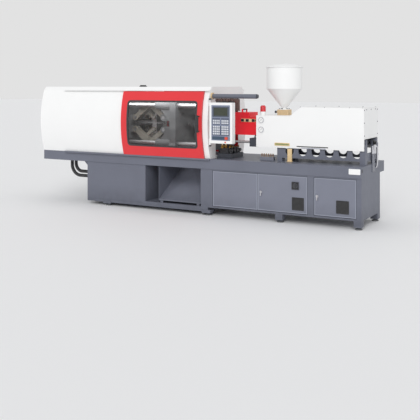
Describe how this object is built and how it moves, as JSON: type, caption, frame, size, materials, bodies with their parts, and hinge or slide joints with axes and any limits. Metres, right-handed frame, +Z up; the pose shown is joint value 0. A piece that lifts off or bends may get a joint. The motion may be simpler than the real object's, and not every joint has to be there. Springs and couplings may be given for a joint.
{
  "type": "injection moulding machine",
  "caption": "Horizontal injection moulding machine: toggle clamp behind curved covers with sliding safety doors, control panel, injection unit with hopper, on a steel bed and cabinet.",
  "frame": {"origin": "on the floor, under the middle of the bed and the machine axis", "axes": "+X runs along the machine from the clamp end to the injection end, -Y is the operator's side, +Z is up"},
  "size_m": [4.639, 1.215, 1.874],
  "materials": {
    "machine_grey": "satin paint",
    "cover_white": "gloss paint",
    "door_red": "gloss paint",
    "bright_steel": "ground",
    "cast_grey": "painted casting",
    "chrome": "polished",
    "black_plastic": "matte",
    "panel_face": "satin film",
    "button_red": "gloss",
    "lens_red": "gloss",
    "window_clear": "clear sheet",
    "hose_black": "matte",
    "base_tan": "satin paint",
    "dark_metal": "satin paint"
  },
  "bodies": {
    "root": {"clamp_base": "machine_grey", "cabinet": "machine_grey", "bed_frame": "machine_grey", "bed_ways": "bright_steel", "levelling_feet": "cast_grey", "drop_chute": "machine_grey", "power_unit": "dark_metal", "fixed_platen": "cast_grey", "tail_platen": "cast_grey", "tie_bars": "bright_steel", "tie_bar_nuts": "cast_grey", "tail_pins": "bright_steel", "clamp_cylinder": "dark_metal", "side_covers": "cover_white", "top_cover": "cover_white", "platen_guard": "cover_white", "overhead_arm": "machine_grey", "guide_base": "machine_grey", "hydraulic_hoses": "hose_black", "water_manifold": "bright_steel", "valve_block": "dark_metal", "rear_valve": "machine_grey", "carriage_rod": "bright_steel"},
    "moving_platen": {"moving_platen": "cast_grey", "platen_pins": "bright_steel", "ejector_cylinder": "dark_metal"},
    "ejector": {"ejector_rod": "bright_steel"},
    "upper_rear_link": {"upper_rear_link": "cast_grey"},
    "lower_rear_link": {"lower_rear_link": "cast_grey"},
    "upper_front_link": {"upper_front_link": "cast_grey"},
    "lower_front_link": {"lower_front_link": "cast_grey"},
    "upper_crosshead_link": {"upper_crosshead_link": "cast_grey"},
    "lower_crosshead_link": {"lower_crosshead_link": "cast_grey"},
    "crosshead": {"crosshead": "bright_steel", "clamp_rod": "bright_steel"},
    "front_door": {"front_door": "door_red", "front_window": "window_clear", "front_handle": "black_plastic"},
    "rear_door": {"rear_door": "door_red", "rear_window": "window_clear"},
    "control_panel": {"control_panel": "cover_white", "panel_face": "panel_face"},
    "stop_button": {"stop_button": "button_red"},
    "cabinet_door_left": {"cabinet_door_left": "machine_grey"},
    "cabinet_door_right": {"cabinet_door_right": "machine_grey"},
    "cabinet_door_end": {"cabinet_door_end": "machine_grey"},
    "door_latch": {"door_latch": "chrome"},
    "end_door_latch": {"end_door_latch": "chrome"},
    "switch_knob": {"switch_knob": "black_plastic"},
    "carriage": {"injection_seat": "cast_grey", "barrel": "bright_steel", "barrel_guard": "door_red", "injection_hood": "cover_white", "hopper": "cover_white", "hopper_lid": "cover_white", "hopper_base": "base_tan", "signal_lamp": "lens_red", "carriage_cylinder": "dark_metal"},
    "injection_drive": {"injection_drive": "dark_metal"},
    "screw": {"screw": "bright_steel"}
  },
  "joints": [
    {"name": "toggle_fold", "type": "hinge", "parent": "root", "child": "upper_rear_link", "pos_m": [-0.92, 0, 1.18], "axis": [0, 1, 0], "range_deg": [-30.3, 35]},
    {"name": "upper_knee", "type": "hinge", "parent": "upper_rear_link", "child": "upper_front_link", "pos_m": [-0.695, 0, 1.34666], "axis": [0, 1, 0], "range_deg": [-70, 60.6]},
    {"name": "platen_pivot", "type": "hinge", "parent": "upper_front_link", "child": "moving_platen", "pos_m": [-0.47, 0, 1.18], "axis": [0, 1, 0], "range_deg": [-30.3, 35]},
    {"name": "lower_toggle", "type": "hinge", "parent": "root", "child": "lower_rear_link", "pos_m": [-0.92, 0, 1.02], "axis": [0, 1, 0], "range_deg": [-35, 30.3]},
    {"name": "lower_knee", "type": "hinge", "parent": "lower_rear_link", "child": "lower_front_link", "pos_m": [-0.695, 0, 0.85334], "axis": [0, 1, 0], "range_deg": [-60.6, 70]},
    {"name": "upper_crosshead_pivot", "type": "hinge", "parent": "upper_rear_link", "child": "upper_crosshead_link", "pos_m": [-0.79946, 0, 1.26928], "axis": [0, 1, 0], "range_deg": [-70, 60.6]},
    {"name": "crosshead_pivot", "type": "hinge", "parent": "upper_crosshead_link", "child": "crosshead", "pos_m": [-0.67893, 0, 1.18], "axis": [0, 1, 0], "range_deg": [-30.3, 35]},
    {"name": "lower_crosshead_pivot", "type": "hinge", "parent": "lower_rear_link", "child": "lower_crosshead_link", "pos_m": [-0.79946, 0, 0.93072], "axis": [0, 1, 0], "range_deg": [-60.6, 70]},
    {"name": "ejector_slide", "type": "slide", "parent": "moving_platen", "child": "ejector", "axis": [1, 0, 0], "range_m": [0, 0.1]},
    {"name": "front_door_slide", "type": "slide", "parent": "root", "child": "front_door", "axis": [-1, 0, 0], "range_m": [0, 1]},
    {"name": "rear_door_slide", "type": "slide", "parent": "root", "child": "rear_door", "axis": [-1, 0, 0], "range_m": [0, 1]},
    {"name": "panel_hinge", "type": "hinge", "parent": "root", "child": "control_panel", "pos_m": [0.415, -0.5, 1.155], "axis": [0, 0, 1], "range_deg": [-75, 0]},
    {"name": "stop_press", "type": "slide", "parent": "control_panel", "child": "stop_button", "axis": [0, 1, 0], "range_m": [0, 0.006], "stiffness_N_per_m": 400},
    {"name": "cabinet_left_hinge", "type": "hinge", "parent": "root", "child": "cabinet_door_left", "pos_m": [0.428, -0.429, 0.34], "axis": [0, 0, -1], "range_deg": [0, 105]},
    {"name": "cabinet_right_hinge", "type": "hinge", "parent": "root", "child": "cabinet_door_right", "pos_m": [1.649, -0.429, 0.34], "axis": [0, 0, 1], "range_deg": [0, 105]},
    {"name": "cabinet_end_hinge", "type": "hinge", "parent": "root", "child": "cabinet_door_end", "pos_m": [2.229, -0.429, 0.34], "axis": [0, 0, 1], "range_deg": [0, 105]},
    {"name": "door_latch_turn", "type": "hinge", "parent": "cabinet_door_right", "child": "door_latch", "pos_m": [1.075, -0.437, 0.344], "axis": [0, 1, 0], "range_deg": [0, 90]},
    {"name": "end_door_latch_turn", "type": "hinge", "parent": "cabinet_door_end", "child": "end_door_latch", "pos_m": [1.78, -0.437, 0.344], "axis": [0, 1, 0], "range_deg": [0, 90]},
    {"name": "switch_turn", "type": "hinge", "parent": "cabinet_door_right", "child": "switch_knob", "pos_m": [1.515, -0.449, 0.446], "axis": [0, 1, 0], "range_deg": [0, 90]},
    {"name": "carriage_slide", "type": "slide", "parent": "root", "child": "carriage", "axis": [1, 0, 0], "range_m": [-0.25, 0]},
    {"name": "injection_slide", "type": "slide", "parent": "carriage", "child": "injection_drive", "axis": [1, 0, 0], "range_m": [-0.15, 0]},
    {"name": "screw_spin", "type": "hinge", "parent": "injection_drive", "child": "screw", "pos_m": [1.75, 0, 1.1], "axis": [1, 0, 0], "continuous": true}
  ],
  "couplings": [
    {"joint": "upper_knee", "follows": "toggle_fold", "ratio": -2},
    {"joint": "platen_pivot", "follows": "toggle_fold", "ratio": 1},
    {"joint": "lower_toggle", "follows": "toggle_fold", "ratio": -1},
    {"joint": "lower_knee", "follows": "toggle_fold", "ratio": 2},
    {"joint": "upper_crosshead_pivot", "follows": "toggle_fold", "ratio": -2},
    {"joint": "crosshead_pivot", "follows": "toggle_fold", "ratio": 1},
    {"joint": "lower_crosshead_pivot", "follows": "toggle_fold", "ratio": 2}
  ]
}
